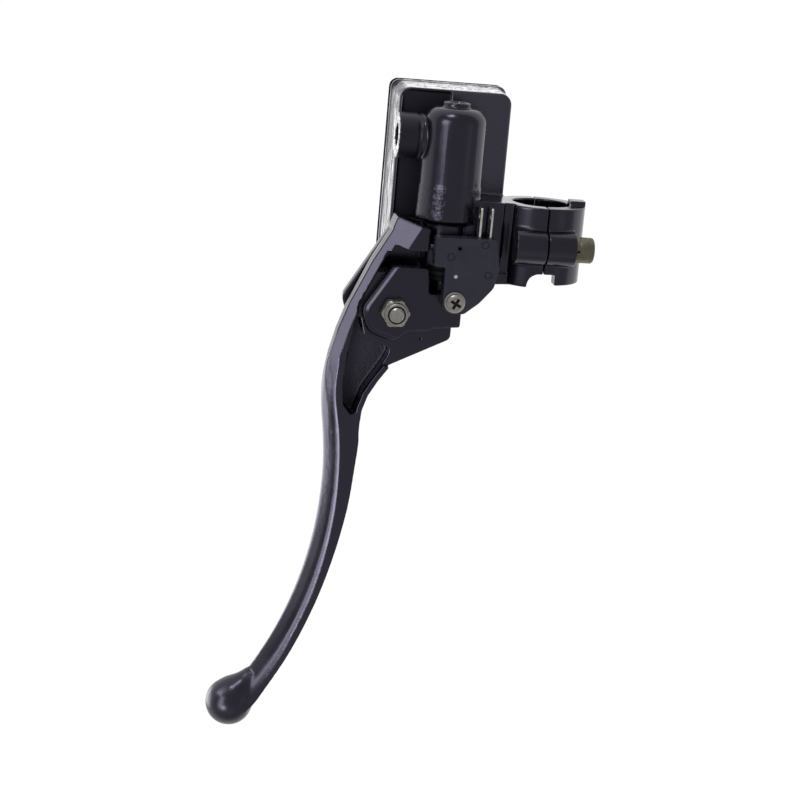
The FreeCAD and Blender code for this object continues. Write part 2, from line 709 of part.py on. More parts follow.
def lever_section(outer, inner, near, far, share, roundness, faceted):
    """Closed wire across the lever. Flat faces below and above, a rounded or faceted finger side."""
    start = V(*outer, 0)
    across = V(*inner, 0) - start
    width = across.Length
    crease = width * share
    across.normalize()
    middle = (near + far) / 2
    facet_rise = crease * math.tan(math.radians(HEAD_SLOPE))

    def point(n, z):
        return start + across * n + V(0, 0, z)

    near_side = []
    far_side = []
    for left, dropped in FINGER_PROFILE:
        rounded = dropped * (middle - near)
        rise = rounded * roundness + facet_rise * (1 - left) * (1 - roundness)
        near_side.append(point(left * crease, near + rise))
        far_side.append(point(left * crease, far - rounded))
    end = point(crease, far)
    finger = Part.BSplineCurve()
    if faceted:
        corner = point(0, near + facet_rise)
        finger.interpolate([corner, point(0, middle), point(0.36 * crease, far - 1.4), end])
        finger_edges = [Part.LineSegment(point(crease, near), corner).toShape(), finger.toShape()]
    else:
        finger.interpolate([point(crease, near)] + near_side + [point(0, middle)] + far_side[::-1] + [end])
        finger_edges = [finger.toShape()]
    corners = [end, point(width, far), point(width, near), point(crease, near)]
    lines = [Part.LineSegment(a, b).toShape() for a, b in zip(corners, corners[1:])]
    return Part.Wire(finger_edges + lines)


def lever_web():
    """Plate between the ears: hub, nose arm, and the lower plate up to the inner edge."""
    corners = [
        (14.6, 61.0, 0),
        (15.6, 50.0, 2.0),
        (19.5, 47.0, 3.0),
        (23.6, 42.4, 2.0),
        (26.5, 42.0, 1.0),
        (NOSE_X, AXIS_Y, 0),
        (27.0, 32.3, 0.5),
        (39.8, 32.3, 2.6),
        (51.8, 56.2, 0),
        (62.0, 62.4, 0),
        (70.0, 65.2, 0),
        (80.0, 66.2, 0),
        (80.0, 76.0, 0),
        (60.0, 76.0, 0),
        (44.0, 74.0, 0),
        (28.0, 70.5, 0),
        (15.0, 64.6, 0),
    ]
    nose = rod((NOSE_X, AXIS_Y, WEB[0]), (NOSE_X, AXIS_Y, WEB[1]), NOSE_R)
    return [plate(corners, *WEB), nose]


def inner_rim():
    """Raised rim along the inner edge beside the pocket."""
    edge = spline(INNER_EDGE)
    outer = [edge_point(edge, x) for x in (52.3, 58.0, 64.0, 70.0, 76.0, 82.0)]
    inner = [p + V(-1.0, 2.0, 0) for p in outer]
    outline = Part.makePolygon(outer + inner[::-1] + [outer[0]])
    rim = Part.Face(outline).extrude(V(0, 0, BLADE_FAR - 1 - BLADE_NEAR))
    rim.translate(V(0, 0, BLADE_NEAR))
    return rim


def heel():
    """Upper end of the lever, which turns towards the cylinder and rests on the collar's flat."""
    corners = [
        (-7.4, 57.0, 1.0),
        (-4.4, 47.4, 1.5),
        (-3.8, 44.5, 0.5),
        (4.8, 44.5, 0.5),
        (4.8, 52.0, 0.6),
        (3.0, 58.0, 0),
        (-3.0, 58.6, 0),
    ]
    block = plate(corners, HEEL_Z, WEB[1])
    sloped = box(-100, 100, -100, 100, 0, 60)
    sloped.rotate(V(0, 0, 0), V(1, 0, 0), HEAD_SLOPE)
    sloped.rotate(V(0, 0, 0), V(0, 0, 1), HEAD_TURN)
    sloped.translate(V(-5.8, 56.7, -8.8))
    collar_room = box(-20, 20, 30, HEEL_Y, -9.6, 20)
    return block.common(sloped).cut(collar_room)


def ball_neck():
    """Flares the blade's end into the ball."""
    neck = turned(BALL_NECK, 0, 0)
    neck.rotate(V(0, 0, 0), AXIS_UP, BALL_NECK_TURN)
    neck.translate(V(*BALL, AXIS_Z))
    return neck


POCKET_OUTLINE = [
    (28.6, 69.4, 1.0),
    (40.4, 66.4, 2.5),
    (45.0, 55.2, 2.5),
    (51.4, 58.4, 1.5),
    (62.0, 64.9, 4.0),
    (73.2, 68.4, 1.2),
    (68.0, 72.6, 3.0),
    (58.0, 73.4, 6.0),
]


def brake_lever():
    head_wires = [lever_section(*row, True) for row in LEVER_SECTIONS[:HEAD_SECTIONS + 1]]
    blade_wires = [lever_section(*row, False) for row in LEVER_SECTIONS[HEAD_SECTIONS:]]
    head = Part.makeLoft(head_wires, True, True)
    blade = Part.makeLoft(blade_wires, True, False)
    ball = Part.makeSphere(BALL_R, V(*BALL, AXIS_Z))
    shape = head
    for piece in [blade, ball, ball_neck(), heel(), inner_rim()] + lever_web():
        shape = shape.fuse(piece)
    ear_room = plate(EAR_SWEEP, EAR_LOW[0] - 5, WEB[0])
    pocket = plate(POCKET_OUTLINE, -20, 0.5)
    hole = rod((PIVOT_X, PIVOT_Y, -30), (PIVOT_X, PIVOT_Y, 30), BUSH_R + FIT)
    mark = rod((40.3, 44.2, WEB[0] - 1), (40.3, 44.2, WEB[0] + 1.2), 0.45)
    return cut(shape, ear_room, pocket, hole, mark)


# Room under the rim for the lower ear, which the lever turns about.
EAR_SWEEP = [
    (6.0, 30.0, 0),
    (6.0, 59.8, 1.0),
    (28.2, 70.1, 6.0),
    (41.0, 69.2, 6.0),
    (44.8, 56.0, 6.0),
    (44.8, 30.0, 0),
]


def pivot_bush():
    return ring((PIVOT_X, PIVOT_Y, WEB[0]), (PIVOT_X, PIVOT_Y, WEB[1]), BUSH_R, PIVOT_R + FIT)


def pivot_bolt():
    """Shoulder bolt from above: hexagon head, 8 mm shoulder, M6 thread through the lower ear."""
    head = hexagon((PIVOT_X, PIVOT_Y, EAR_HIGH[1]), (0, 0, 1), 10.0, 4.0)
    crown = Part.makeSphere(9.4, V(PIVOT_X, PIVOT_Y, EAR_HIGH[1] - 4.2))
    shoulder = rod((PIVOT_X, PIVOT_Y, EAR_LOW[1]), (PIVOT_X, PIVOT_Y, EAR_HIGH[1]), PIVOT_R)
    thread = rod((PIVOT_X, PIVOT_Y, BOLT_END_Z), (PIVOT_X, PIVOT_Y, EAR_LOW[1]), PIVOT_THREAD_R)
    thread = thread.makeChamfer(0.5, [e for e in thread.Edges if e.CenterOfMass.z < BOLT_END_Z + 0.1])
    return fuse([head.common(crown), shoulder, thread])


def pivot_nut():
    """M6 lock nut with its round collar facing down."""
    top = EAR_LOW[0]
    body = hexagon((PIVOT_X, PIVOT_Y, top), (0, 0, -1), 10.0, NUT_HEX_T)
    facing = Part.makeSphere(7.1, V(PIVOT_X, PIVOT_Y, top - 0.4))
    collar = rod((PIVOT_X, PIVOT_Y, top - NUT_HEX_T), (PIVOT_X, PIVOT_Y, top - NUT_T), 4.6)
    collar = collar.makeFillet(0.8, [e for e in collar.Edges if e.CenterOfMass.z < top - NUT_T + 0.1])
    hole = rod((PIVOT_X, PIVOT_Y, top + 1), (PIVOT_X, PIVOT_Y, top - 9), PIVOT_THREAD_R + FIT)
    return cut(body.common(facing).fuse(collar), hole)


# ---------------------------------------------------------------- brake light switch

SWITCH_OUTLINE = [
    (-2.0, 43.2, 0.5),
    (-2.4, 19.8, 1.0),
    (9.0, 17.8, 2.0),
    (16.4, 19.4, 5.0),
    (22.6, 24.6, 5.0),
    (27.2, 30.2, 3.0),
    (27.2, 38.6, 4.0),
    (9.4, 38.8, 0.5),
    (9.2, 43.2, 0.5),
]
TERMINALS_Y = (26.4, 22.2)
TERMINAL_T = 0.8


def switch_cavity():
    return box(0.0, 15.0, 21.0, 37.2, SWITCH_TOP + SWITCH_COVER_T, SWITCH_BASE - 1.0)


def plunger_hole(radius):
    return rod((PLUNGER_X, 33.0, PLUNGER_Z), (PLUNGER_X, 44, PLUNGER_Z), radius)


def switch_case():
    """Moulded case, with a low block beside the collar that guides the plunger."""
    case = plate(SWITCH_OUTLINE, SWITCH_TOP + SWITCH_COVER_T, SWITCH_BASE)
    guide = box(PLUNGER_X - 3.6, PLUNGER_X + 3.6, 39.6, 43.1, SWITCH_BASE - 1, -11.75)
    room = box(PLUNGER_X - 1.8, PLUNGER_X + 1.8, 22.0, 37.2, SWITCH_BASE - 2, SWITCH_BASE + 1)
    screw_hole = rod((*SWITCH_SCREW, -30), (*SWITCH_SCREW, 0), SWITCH_SCREW_R + 0.15)
    case = case.cut(room).fuse(guide).removeSplitter()
    hole = plunger_hole(PLUNGER_R + 0.08)
    return cut(case, switch_cavity(), hole, screw_hole, *terminal_slots())


def switch_plunger():
    """Plunger that the lever's heel holds in at rest, and its slider inside the case."""
    stem = rod((PLUNGER_X, 33.4, PLUNGER_Z), (PLUNGER_X, PLUNGER_END_Y, PLUNGER_Z), PLUNGER_R)
    slider = box(PLUNGER_X - 1.6, PLUNGER_X + 1.6, 33.4, 34.6, SWITCH_SPRING_Z - 1.7, PLUNGER_Z)
    return stem.fuse(slider)


def switch_spring():
    """Small coil spring behind the plunger."""
    wire = 0.2
    helix = Part.makeHelix(1.5, 10.5, 1.5)
    helix.rotate(V(0, 0, 0), V(1, 0, 0), -90)
    helix.translate(V(PLUNGER_X, 22.4, SWITCH_SPRING_Z))
    first = helix.Edges[0]
    at = first.valueAt(first.FirstParameter)
    section = Part.Wire(Part.makeCircle(wire, at, first.tangentAt(first.FirstParameter)))
    return Part.Wire(helix.Edges).makePipeShell([section], True, True)


def terminal_slots():
    low, high = TERMINAL_Z[0] - FIT, TERMINAL_Z[1] + FIT
    half = TERMINAL_T / 2 + FIT
    return [box(-5, 1.0, y - half, y + half, low, high) for y in TERMINALS_Y]


TERMINAL_Z = (-18.3, -13.6)


def switch_terminal(y):
    """Flat male blade with a pierced, rounded tip."""
    blade = box(-14.0, 0.5, y - TERMINAL_T / 2, y + TERMINAL_T / 2, *TERMINAL_Z)
    tips = [e for e in blade.Edges if abs(e.CenterOfMass.x + 14.0) < 0.01 and e.Length < 1.0]
    blade = blade.makeFillet(1.2, tips)
    middle = (TERMINAL_Z[0] + TERMINAL_Z[1]) / 2
    return blade.cut(rod((-10.6, y - 2, middle), (-10.6, y + 2, middle), 0.8))


def switch_cover():
    """Flat cover with three moulded pins and one moulding hole."""
    cover = plate(SWITCH_OUTLINE, SWITCH_TOP, SWITCH_TOP + SWITCH_COVER_T)
    screw_hole = rod((*SWITCH_SCREW, -30), (*SWITCH_SCREW, 0), SWITCH_SCREW_R + 0.15)
    dimple = rod((1.8, 33.9, SWITCH_TOP - 1), (1.8, 33.9, SWITCH_TOP + 1.0), 1.1)
    vent = rod((12.7, 34.5, SWITCH_TOP - 1), (12.7, 34.5, SWITCH_TOP + 1.0), 0.8)
    shape = cut(cover, screw_hole, dimple, vent)
    for x, y in ((5.1, 37.0), (-0.2, 24.2), (11.4, 22.0)):
        shape = shape.cut(ring((x, y, SWITCH_TOP - 1), (x, y, SWITCH_TOP + 0.35), 1.5, 1.15))
    return shape


def switch_screw():
    """M4 pan-head cross screw."""
    x, y = SWITCH_SCREW
    under = SWITCH_TOP - 0.8
    head = Part.makeSphere(5.6, V(x, y, under + 2.6)).common(
        rod((x, y, under - 2.6), (x, y, under), 3.5)
    )
    shank = rod((x, y, under), (x, y, EAR_LOW[1]), SWITCH_SCREW_R)
    recess = cross_recess(x, y, under - 2.7, -1)
    recess.rotate(V(x, y, 0), AXIS_UP, 28)
    return cut(head.fuse(shank), recess)


def switch_washer():
    x, y = SWITCH_SCREW
    return ring((x, y, SWITCH_TOP - 0.8), (x, y, SWITCH_TOP), 4.1, SWITCH_SCREW_R + FIT)


def main():
    os.makedirs(OUT, exist_ok=True)
    export("master_cylinder_body", master_cylinder_body())
    export("clamp_cap", clamp_cap())
    for name, side in (("lower", -1), ("upper", 1)):
        export("clamp_bolt_" + name, clamp_bolt(side))
        export("clamp_washer_" + name, clamp_washer(side))
    export("reservoir_lid", lid())
    for name, place in zip(("inboard", "outboard"), lid_screw_places()):
        export("lid_screw_" + name, lid_screw(*place))
    export("reservoir_diaphragm", diaphragm())
    export("diaphragm_set_plate", set_plate())
    export("port_guard", port_guard())
    export("sight_glass", sight_glass())
    export("sight_glass_seal", sight_seal())
    export("piston", piston())
    export("primary_cup", primary_cup())
    export("secondary_cup", secondary_cup())
    export("return_spring", return_spring())
    export("circlip", circlip())
    export("dust_boot", dust_boot())
    export("brake_lever", brake_lever())
    export("pivot_bush", pivot_bush())
    export("pivot_bolt", pivot_bolt())
    export("pivot_nut", pivot_nut())
    export("switch_case", switch_case())
    export("switch_cover", switch_cover())
    export("switch_plunger", switch_plunger())
    export("switch_spring", switch_spring())
    for name, y in zip(("front", "rear"), TERMINALS_Y):
        export("switch_terminal_" + name, switch_terminal(y))
    export("switch_screw", switch_screw())
    export("switch_washer", switch_washer())


main()
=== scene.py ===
"""Looks of a hydraulic brake master cylinder: cast painted body and lever, switch and fasteners."""

import math

import bmesh
import bpy
from mathutils import Matrix, Vector


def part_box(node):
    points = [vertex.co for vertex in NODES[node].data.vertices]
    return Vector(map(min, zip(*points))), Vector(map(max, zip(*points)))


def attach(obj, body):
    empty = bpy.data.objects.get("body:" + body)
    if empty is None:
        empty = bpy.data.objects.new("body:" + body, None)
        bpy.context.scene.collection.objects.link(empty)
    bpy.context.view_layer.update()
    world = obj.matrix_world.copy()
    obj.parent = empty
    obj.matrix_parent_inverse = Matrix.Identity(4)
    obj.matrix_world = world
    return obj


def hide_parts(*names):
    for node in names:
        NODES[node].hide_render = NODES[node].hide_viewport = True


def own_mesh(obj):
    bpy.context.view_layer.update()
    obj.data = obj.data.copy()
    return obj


MM = 0.001
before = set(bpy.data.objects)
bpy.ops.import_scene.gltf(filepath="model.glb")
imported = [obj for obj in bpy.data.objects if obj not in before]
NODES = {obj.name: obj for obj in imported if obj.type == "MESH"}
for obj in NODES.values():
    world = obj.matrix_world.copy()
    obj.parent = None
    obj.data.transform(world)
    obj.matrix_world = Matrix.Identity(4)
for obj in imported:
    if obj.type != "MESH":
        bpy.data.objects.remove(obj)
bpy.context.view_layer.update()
SCENE = bpy.context.scene


# ---------------------------------------------------------------- camera, floor and light

LENS_MM, SENSOR_MM = 90.0, 36.0
NEAR_CLIP_M, FAR_CLIP_M = 0.01, 100.0
CAMERA_AT = Vector((-0.11916, 0.16714, -0.76424))
CAMERA_FORWARD = Vector((0.2342, -0.1487, 0.9607)).normalized()
CAMERA_UP = Vector((-0.9685, 0.0504, 0.2439))
WORLD_STRENGTH = 1.02
FLOOR_Z = -1.15
FLOOR_HALF_M = 20.0
FLOOR_COLOUR = (0.42, 0.42, 0.43, 1.0)
FLOOR_ROUGHNESS = 0.9
LIGHT_COLOUR = (0.98, 0.96, 1.0)  # a little violet

# Soft area lights: name, place, target, width, height (m) and radiance.
LEVER_LIGHTS = (
    ("head_light", (-0.02, 0.94, -0.90), (0.04, 0.07, 0.0), 1.24, 0.44, 4.6),
    ("crease_light", (0.49, 0.64, -1.02), (0.10, 0.08, 0.0), 0.32, 0.30, 12.5),
    ("blade_back_light", (0.34, 0.88, 0.66), (0.11, 0.08, 0.0), 0.6, 0.85, 3.4),
    ("bend_light", (0.074, 0.223, -0.042), (0.052, 0.079, -0.008), 0.088, 0.085, 5.0),
)
BODY_LIGHTS = (
    ("rim_light", (-0.19, 0.88, -0.83), (0.03, 0.06, -0.01), 0.52, 0.5, 5.5),
    ("front_wall_light", (0.18, 0.18, 1.0), (-0.02, 0.04, 0.0), 0.24, 0.3, 1.2),
    ("end_wall_light", (-0.26, -0.11, 1.0), (-0.03, 0.04, 0.0), 0.24, 0.3, 1.0),
)
ROOM_LIGHTS = (
    ("inboard_light", (-1.1, 0.42, -0.47), (-0.04, 0.03, 0.0), 0.35, 0.3, 12.0),
    ("floor_pool_rider", (0.25, -1.35, -0.65), (0.25, -1.35, FLOOR_Z), 0.7, 0.5, 2.2),
    ("floor_pool_outboard", (0.95, 0.0, -0.65), (0.95, 0.0, FLOOR_Z), 0.5, 0.5, 4.0),
)


def make_camera():
    data = bpy.data.cameras.new("camera")
    data.sensor_width = SENSOR_MM
    data.lens = LENS_MM
    data.clip_start = NEAR_CLIP_M
    data.clip_end = FAR_CLIP_M
    camera = bpy.data.objects.new("camera", data)
    SCENE.collection.objects.link(camera)
    right = CAMERA_FORWARD.cross(CAMERA_UP).normalized()
    up = right.cross(CAMERA_FORWARD).normalized()
    turn = Matrix((right, up, -CAMERA_FORWARD)).transposed()
    camera.matrix_world = Matrix.Translation(CAMERA_AT) @ turn.to_4x4()
    SCENE.camera = camera


def soft_light(name, place, target, width, height, radiance):
    """Area light of a given radiance that faces target and isn't seen by the camera."""
    data = bpy.data.lights.new(name, "AREA")
    data.shape = "RECTANGLE"
    data.size = width
    data.size_y = height
    data.energy = radiance * math.pi * width * height
    data.color = LIGHT_COLOUR
    light = bpy.data.objects.new(name, data)
    SCENE.collection.objects.link(light)
    way = (Vector(target) - Vector(place)).normalized()
    turn = way.to_track_quat("-Z", "Y").to_matrix().to_4x4()
    light.matrix_world = Matrix.Translation(Vector(place)) @ turn
    light.visible_camera = False
    return light


def make_studio():
    """White surroundings, the lights and the floor. Returns the lever's lights and the body's."""
    world = bpy.data.worlds.new("studio")
    world.use_nodes = True
    background = world.node_tree.nodes["Background"]
    background.inputs["Color"].default_value = (1.0, 1.0, 1.0, 1.0)
    background.inputs["Strength"].default_value = WORLD_STRENGTH
    SCENE.world = world
    SCENE.view_settings.view_transform = "Standard"
    SCENE.view_settings.look = "None"
    lever_lights = [soft_light(*row) for row in LEVER_LIGHTS]
    body_lights = [soft_light(*row) for row in BODY_LIGHTS]
    for row in ROOM_LIGHTS:
        soft_light(*row)

    mesh = bpy.data.meshes.new("floor")
    signs = ((-1, -1), (1, -1), (1, 1), (-1, 1))
    corners = [(x * FLOOR_HALF_M, y * FLOOR_HALF_M, FLOOR_Z) for x, y in signs]
    mesh.from_pydata(corners, [], [(0, 1, 2, 3)])
    floor = bpy.data.objects.new("floor", mesh)
    SCENE.collection.objects.link(floor)
    material = bpy.data.materials.new("floor_paper")
    material.use_nodes = True
    shader = material.node_tree.nodes["Principled BSDF"]
    shader.inputs["Base Color"].default_value = FLOOR_COLOUR
    shader.inputs["Roughness"].default_value = FLOOR_ROUGHNESS
    mesh.materials.append(material)
    return lever_lights, body_lights


# ---------------------------------------------------------------- materials

class Surface:
    """A Principled material with short helpers for its nodes, in object coordinates."""

    def __init__(self, name, **numbers):
        self.material = bpy.data.materials.new(name)
        self.material.use_nodes = True
        self.tree = self.material.node_tree
        self.shader = self.tree.nodes["Principled BSDF"]
        self.place = self.node("ShaderNodeTexCoord").outputs["Object"]
        self.bump_in = None
        for key, value in numbers.items():
            socket = self.shader.inputs[key.replace("_", " ").title().replace("Ior", "IOR")]
            socket.default_value = (*value, 1.0) if isinstance(value, tuple) else value

    def node(self, kind, **settings):
        made = self.tree.nodes.new(kind)
        for key, value in settings.items():
            setattr(made, key, value)
        return made

    def link(self, source, target):
        self.tree.links.new(source, target)

    def stretched(self, scale):
        mapping = self.node("ShaderNodeMapping")
        mapping.inputs["Scale"].default_value = scale
        self.link(self.place, mapping.inputs["Vector"])
        return mapping.outputs["Vector"]

    def noise(self, scale, detail=2.0, rough=0.5, place=None, distortion=0.0):
        made = self.node("ShaderNodeTexNoise")
        made.inputs["Scale"].default_value = scale
        made.inputs["Detail"].default_value = detail
        made.inputs["Roughness"].default_value = rough
        made.inputs["Distortion"].default_value = distortion
        self.link(place or self.place, made.inputs["Vector"])
        return made.outputs["Fac"]

    def ranged(self, value, low, high, out_low=0.0, out_high=1.0, smooth=False):
        made = self.node("ShaderNodeMapRange")
        if smooth:
            made.interpolation_type = "SMOOTHSTEP"
        for key, number in (("From Min", low), ("From Max", high), ("To Min", out_low), ("To Max", out_high)):
            made.inputs[key].default_value = number
        self.link(value, made.inputs["Value"])
        return made.outputs["Result"]

    def maths(self, operation, a, b):
        made = self.node("ShaderNodeMath", operation=operation)
        for socket, value in zip(made.inputs, (a, b)):
            if isinstance(value, (int, float)):
                socket.default_value = value
            else:
                self.link(value, socket)
        return made.outputs[0]

    def mixed(self, share, a, b):
        made = self.node("ShaderNodeMix", data_type="RGBA")
        self.link(share, made.inputs[0])
        for socket, value in ((made.inputs[6], a), (made.inputs[7], b)):
            if isinstance(value, tuple):
                socket.default_value = (*value, 1.0)
            else:
                self.link(value, socket)
        return made.outputs[2]

    def along(self, axis):
        split = self.node("ShaderNodeSeparateXYZ")
        self.link(self.place, split.inputs[0])
        return split.outputs[axis]

    def colour(self, value):
        self.link(value, self.shader.inputs["Base Color"])

    def roughness(self, value):
        self.link(value, self.shader.inputs["Roughness"])

    def bump(self, height, strength, depth_mm):
        made = self.node("ShaderNodeBump")
        made.inputs["Strength"].default_value = strength
        made.inputs["Distance"].default_value = depth_mm * MM
        self.link(height, made.inputs["Height"])
        if self.bump_in is not None:
            self.link(self.bump_in, made.inputs["Normal"])
        self.bump_in = made.outputs["Normal"]
        self.link(self.bump_in, self.shader.inputs["Normal"])


PAINT_TINT = (0.80, 0.77, 1.0)


def gloss_paint(name, low=0.14, high=0.26, peel=0.35, wave=0.25, shine=0.5):
    """Black gloss paint over a casting: orange peel, slow waviness, dust and worn shine."""
    made = Surface(name, base_color=(0.0016, 0.0016, 0.003), ior=1.56)
    made.shader.inputs["Specular Tint"].default_value = (*PAINT_TINT, 1.0)
    made.shader.inputs["Specular IOR Level"].default_value = shine
    dust = made.ranged(made.noise(1500.0, 3.0, 0.7), 0.66, 0.80)
    cloud = made.noise(55.0, 4.0, 0.6)
    tone = made.mixed(cloud, (0.0012, 0.0012, 0.0022), (0.0030, 0.0029, 0.0050))
    made.colour(made.mixed(made.maths("MULTIPLY", dust, 0.25), tone, (0.05, 0.05, 0.055)))
    even = made.ranged(cloud, 0.3, 0.7, low, high)
    made.roughness(made.maths("ADD", even, made.maths("MULTIPLY", dust, 0.2)))
    made.bump(made.noise(420.0, 2.0, 0.5), peel, 0.035)
    made.bump(made.noise(110.0, 2.0, 0.5), wave, 0.12)
    return made


def plated(name, dark, light, low=0.28, high=0.5, scratch=0.25, metallic=1.0):
    """Zinc-plated steel, dulled, with blotches, fine scratches and grime."""
    made = Surface(name, metallic=metallic)
    blotch = made.noise(420.0, 4.0, 0.65)
    grime_and_painted_shade = made.ranged(made.noise(900.0, 5.0, 0.7, distortion=0.6), 0.42, 0.68)
    tone = made.mixed(blotch, dark, light)
    made.colour(made.mixed(made.maths("MULTIPLY", grime_and_painted_shade, 0.45), tone, tuple(0.35 * c for c in dark)))
    made.roughness(made.ranged(blotch, 0.3, 0.7, high, low))
    made.bump(made.noise(2600.0, 3.0, 0.6), scratch, 0.03)
    made.bump(made.noise(1.0, 4.0, 0.6, made.stretched((6000.0, 500.0, 900.0))), scratch, 0.02)
    return made


def moulded(name, dark, light, low=0.32, high=0.5, grain=0.3):
    """Moulded plastic or rubber with a fine spark-eroded grain and handling marks."""
    made = Surface(name, ior=1.5)
    cloud = made.noise(140.0, 4.0, 0.6)
    made.colour(made.mixed(cloud, dark, light))
    made.roughness(made.ranged(cloud, 0.35, 0.65, low, high))
    made.bump(made.noise(3200.0, 2.0, 0.5), grain, 0.03)
    made.bump(made.noise(260.0, 2.0, 0.5), grain, 0.05)
    return made


WORN_FROM_TO_M = (0.172, 0.188)  # along the lever, where the ball's handled paint begins


def make_materials():
    glass = Surface("clear_window", base_color=(0.82, 0.86, 0.85), roughness=0.08, ior=1.49)
    glass.shader.inputs["Transmission Weight"].default_value = 0.9
    glass.bump(glass.noise(300.0, 2.0), 0.1, 0.02)
    pocket = gloss_paint("pocket_paint", 0.35, 0.55, 0.9, 0.6)
    pocket.bump(pocket.noise(700.0, 5.0, 0.7), 0.9, 0.25)
    wall = gloss_paint("wall_paint", 0.05, 0.10, 0.4, 0.4, 0.6)
    wall.bump(wall.noise(1.0, 1.0, 0.4, wall.stretched((45.0, 280.0, 280.0)), 1.2), 1.0, 0.42)
    wrinkled = gloss_paint("wrinkled_paint", 0.10, 0.20, 0.8, 0.9)
    wrinkled.bump(wrinkled.noise(560.0, 4.0, 0.6, distortion=0.8), 0.8, 0.2)
    port = plated("port_face", (0.25, 0.25, 0.26), (0.85, 0.85, 0.86), 0.15, 0.4, 1.0)
    stain = port.ranged(port.noise(520.0, 3.0, 0.6, distortion=1.0), 0.47, 0.56)
    port.colour(port.mixed(stain, (0.16, 0.16, 0.165), (0.85, 0.85, 0.86)))
    port.bump(port.noise(1.0, 3.0, 0.6, port.stretched((700.0, 700.0, 300.0)), 0.8), 1.0, 0.14)
    lid_edge = gloss_paint("lid_edge_paint", 0.5, 0.7, 0.5, 0.3, 0.2)
    lid_edge.shader.inputs["IOR"].default_value = 1.12
    lever_paint = gloss_paint("lever_paint")
    worn = lever_paint.ranged(lever_paint.along(0), *WORN_FROM_TO_M, 0.0, 0.07, smooth=True)
    even = lever_paint.shader.inputs["Roughness"].links[0].from_socket
    lever_paint.roughness(lever_paint.maths("ADD", even, worn))
    return {
        "paint": gloss_paint("gloss_black_paint"),
        "lever_paint": lever_paint,
        "wrinkled": wrinkled,
        "floor_paint": gloss_paint("tub_floor_paint", 0.2, 0.34, 0.35, 0.25, 0.9),
        "port": port,
        # A dark, rough coat for the screw head's cross recess: painted shade in the recess.
        "grime_and_painted_shade": moulded("painted_recess_shade", (0.008, 0.008, 0.008), (0.02, 0.02, 0.018), 0.6, 0.8, 0.5),
        "pocket": pocket,
        "rough_paint": gloss_paint("rough_cast_paint", 0.3, 0.5, 0.9, 0.6, 0.36),
        "lid_paint": gloss_paint("lid_paint", 0.2, 0.34, 0.5, 0.3),
        "lid_edge": lid_edge,
        "wall_paint": wall,
        "zinc": plated("zinc_steel", (0.30, 0.29, 0.26), (0.46, 0.45, 0.41)),
        "yellow_zinc": plated("yellow_zinc_steel", (0.115, 0.11, 0.075), (0.21, 0.20, 0.145)),
        "spring": plated("spring_steel", (0.35, 0.35, 0.36), (0.52, 0.52, 0.53), 0.2, 0.35),
        "bronze": plated("sintered_bronze", (0.40, 0.28, 0.14), (0.55, 0.42, 0.24), 0.35, 0.5),
        "anodised": plated("piston_aluminium", (0.05, 0.05, 0.055), (0.09, 0.09, 0.10), 0.25, 0.4),
        "terminal": plated("tinned_brass", (0.60, 0.58, 0.52), (0.80, 0.79, 0.74), 0.2, 0.35),
        "plastic": moulded("black_plastic", (0.011, 0.011, 0.024), (0.022, 0.022, 0.042), 0.25, 0.4),
        "rubber": moulded("black_rubber", (0.010, 0.010, 0.010), (0.022, 0.022, 0.022), 0.55, 0.75, 0.5),
        "glass": glass,
    }


# ---------------------------------------------------------------- mesh helpers

def new_piece(name, mesh, body, material, replaced=()):
    """A finished mesh as a piece that rides on a body and stands for CAD nodes."""
    piece = bpy.data.objects.new(name, mesh)
    SCENE.collection.objects.link(piece)
    mesh.materials.clear()
    mesh.materials.append(material.material)
    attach(piece, body)
    if replaced:
        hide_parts(*replaced)
    return piece


def finished_mesh(name, mesh, *modifiers):
    """A copy of the mesh with modifiers applied. Each is (type, {setting: value})."""
    work = bpy.data.objects.new(name + "_work", mesh)
    SCENE.collection.objects.link(work)
    for kind, settings in modifiers:
        modifier = work.modifiers.new(kind.lower(), kind)
        for key, value in settings.items():
            setattr(modifier, key, value)
    graph = bpy.context.evaluated_depsgraph_get()
    result = bpy.data.meshes.new_from_object(work.evaluated_get(graph))
    result.name = name
    bpy.data.objects.remove(work)
    return result


def shade_smooth(mesh, angle=None):
    mesh.polygons.foreach_set("use_smooth", [True] * len(mesh.polygons))
    if angle is not None:
        mesh.set_sharp_from_angle(angle=math.radians(angle))
    mesh.update()


def cast_mesh(name, node, voxel_mm, rounds):
    """The CAD node with the soft edges of a casting: remeshed finely, then relaxed."""
    mesh = NODES[node].data.copy()
    remesh = ("REMESH", {"mode": "VOXEL", "voxel_size": voxel_mm * MM, "adaptivity": 0.0})
    relax = ("SMOOTH", {"factor": 0.5, "iterations": rounds})
    result = finished_mesh(name, mesh, remesh, relax)
    shade_smooth(result)
    return result


def blend_neck(mesh, centre, reaches_mm, rounds):
    """Relaxes the mesh around a ball's neck, in ring-shaped zones that end softly at both sides."""
    work = bmesh.new()
    work.from_mesh(mesh)
    for near, far in reaches_mm:
        zone = [v for v in work.verts if near * MM < (v.co - centre).length < far * MM]
        for _ in range(rounds):
            bmesh.ops.smooth_vert(work, verts=zone, factor=0.5,
                                  use_axis_x=True, use_axis_y=True, use_axis_z=True)
    work.to_mesh(mesh)
    work.free()
    shade_smooth(mesh)


# ---------------------------------------------------------------- turned and eased pieces

TURNED_CREASE_DEG = 32
EASED_CREASE_DEG = 40
EASED_FROM_DEG = 35
MERGE_MM = 0.002
KNURL_DEPTH_MM = 0.10


